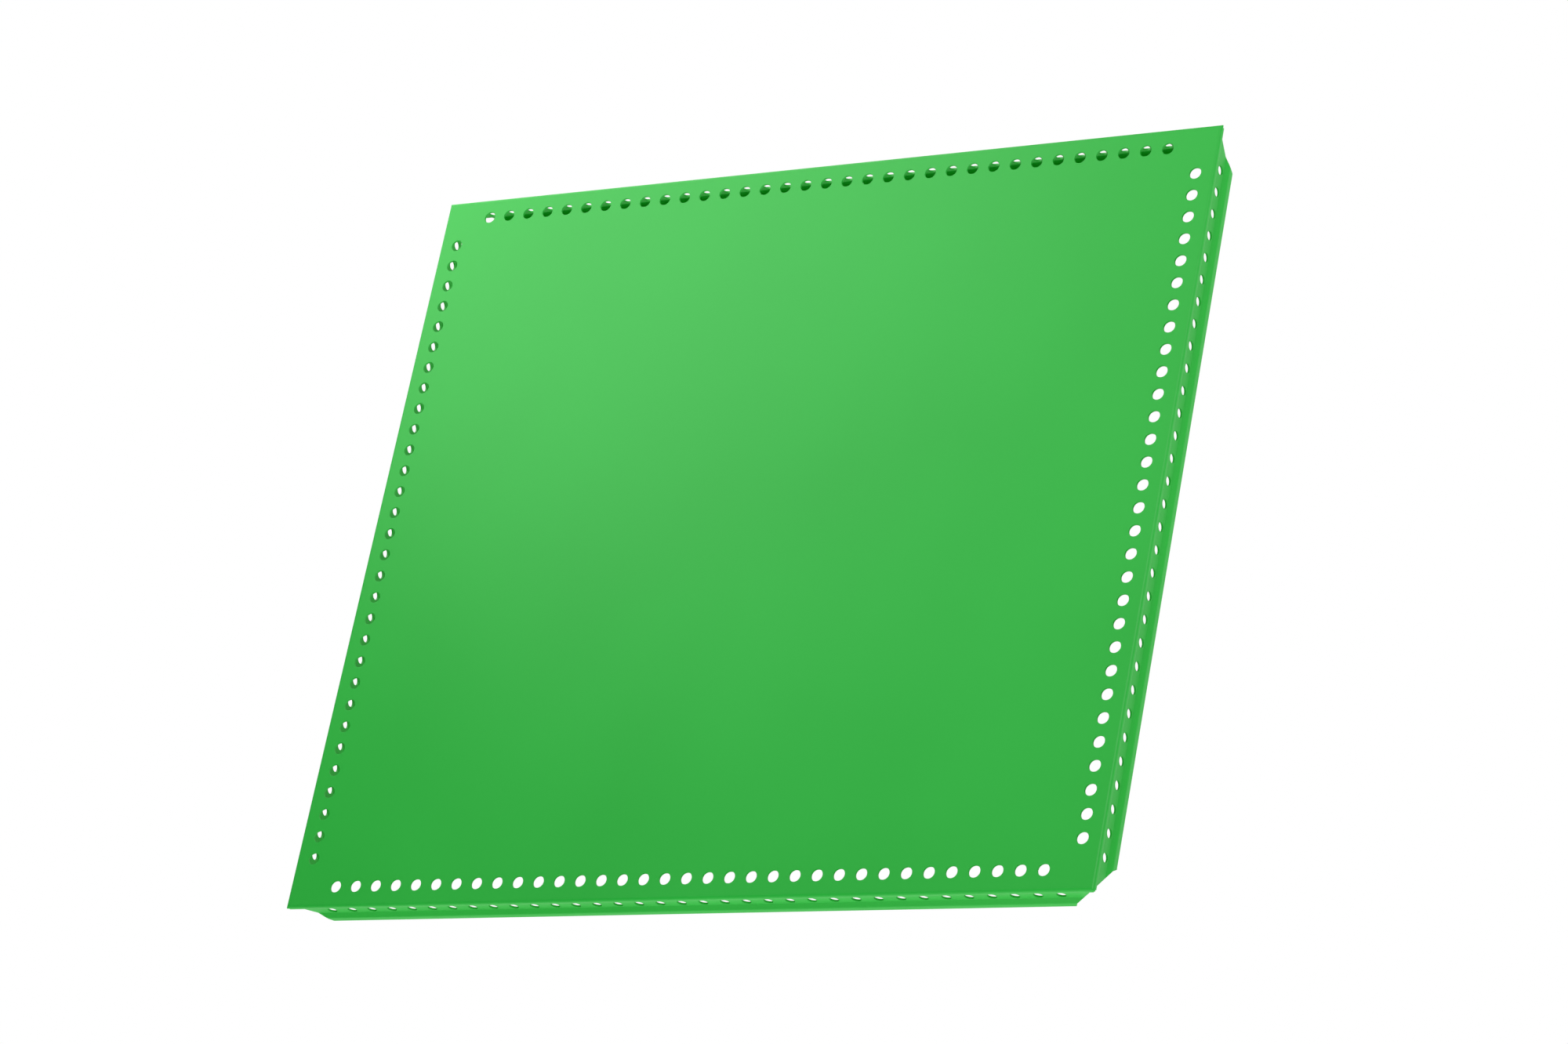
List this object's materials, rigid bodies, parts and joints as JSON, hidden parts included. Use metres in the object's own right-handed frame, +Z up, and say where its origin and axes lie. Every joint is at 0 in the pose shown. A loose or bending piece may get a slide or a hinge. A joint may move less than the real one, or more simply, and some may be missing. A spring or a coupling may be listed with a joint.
{
  "type": "perforated-edge work platform deck panel",
  "caption": "Folded steel deck panel for a work platform, with hole rows along its edges, grooved and pierced side flanges, inturned lips and bolted stiffening ribs underneath.",
  "frame": {"origin": "middle of the plane that the flange lips stand on, under the middle of the deck", "axes": "+X along the panel's longer side, +Y along its shorter side, +Z up, out of the deck's top face"},
  "size_m": [0.94, 0.834, 0.04],
  "materials": {
    "powder_coated_steel": "satin-gloss green powder coat over folded steel sheet",
    "galvanised_sheet": "hot-dip galvanised steel strip, light spangle",
    "zinc_plated_fixings": "bright zinc plating"
  },
  "bodies": {
    "root": {"deck_tray": "powder_coated_steel", "stiffener_rib_1": "galvanised_sheet", "stiffener_rib_2": "galvanised_sheet", "stiffener_rib_3": "galvanised_sheet", "stiffener_rib_4": "galvanised_sheet", "stiffener_rib_5": "galvanised_sheet", "weld_studs": "zinc_plated_fixings", "flange_nuts": "zinc_plated_fixings"}
  },
  "joints": []
}
